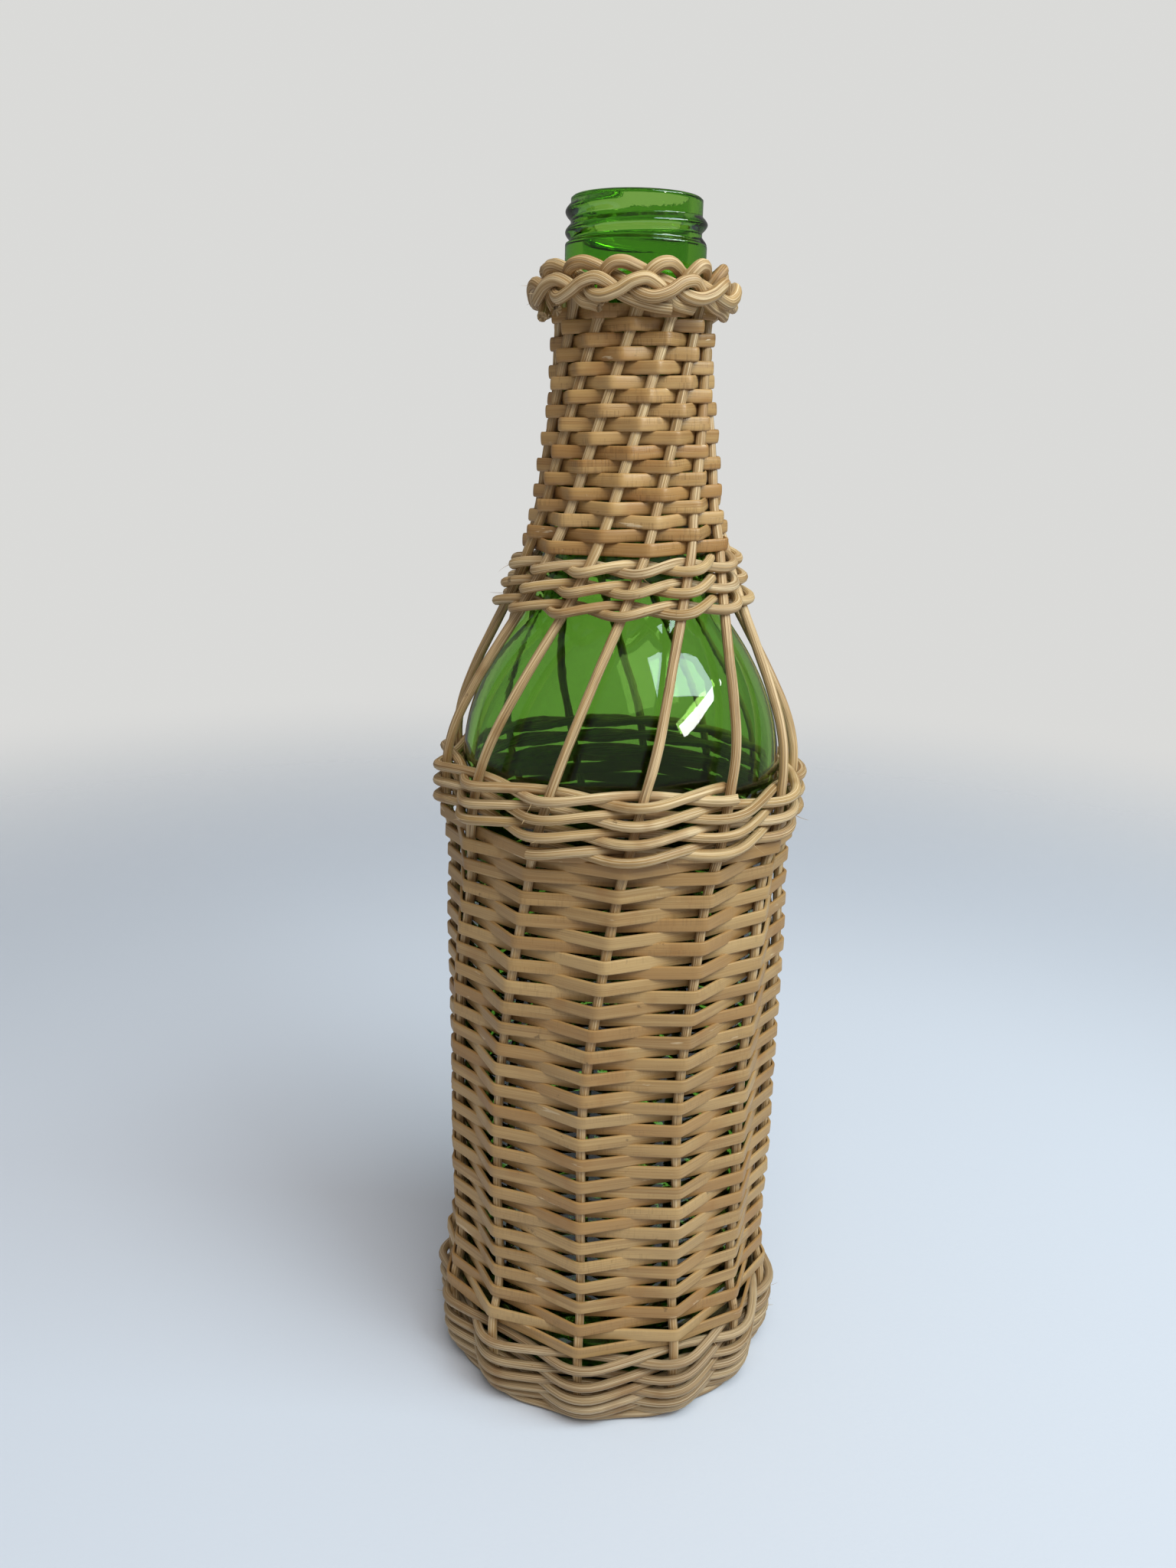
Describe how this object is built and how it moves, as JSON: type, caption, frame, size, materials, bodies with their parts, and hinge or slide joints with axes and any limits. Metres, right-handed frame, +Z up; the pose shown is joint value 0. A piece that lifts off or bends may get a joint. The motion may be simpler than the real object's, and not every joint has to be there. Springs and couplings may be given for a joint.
{
  "type": "wicker-covered bottle",
  "caption": "Green glass screw-neck bottle in a woven cane jacket, with leaning stakes, an open shoulder, a flat-cane neck and a plaited border.",
  "frame": {"origin": "centre of the underside, where the bottle stands on the ground, on the axis of the glass", "axes": "+Z up along the bottle's axis; -Y towards the side that the picture shows; +X to its right"},
  "size_m": [0.0937, 0.0935, 0.295],
  "materials": {
    "green_glass": "clear saturated green container glass, glossy",
    "round_cane": "natural round cane, fine lengthwise grooves, satin",
    "pale_round_cane": "paler natural round cane, fine lengthwise grooves, satin",
    "flat_cane": "golden-tan split flat cane, satin",
    "neck_cane": "orange-brown split cane skin with fine cross marks, satin",
    "mat_cane": "natural cane, woven mat, dull"
  },
  "bodies": {
    "root": {"base_mat": "mat_cane", "glass_bottle": "green_glass", "stake_01": "round_cane", "stake_02": "round_cane", "stake_03": "round_cane", "stake_04": "round_cane", "stake_05": "round_cane", "stake_06": "round_cane", "stake_07": "round_cane", "stake_08": "round_cane", "stake_09": "round_cane", "stake_10": "round_cane", "stake_11": "round_cane", "stake_12": "round_cane", "stake_13": "round_cane", "base_wale_a": "pale_round_cane", "base_wale_b": "pale_round_cane", "body_weaver": "flat_cane", "upper_wale_a": "pale_round_cane", "upper_wale_b": "pale_round_cane", "shoulder_twine_a": "pale_round_cane", "shoulder_twine_b": "pale_round_cane", "neck_weaver": "neck_cane"}
  },
  "joints": []
}
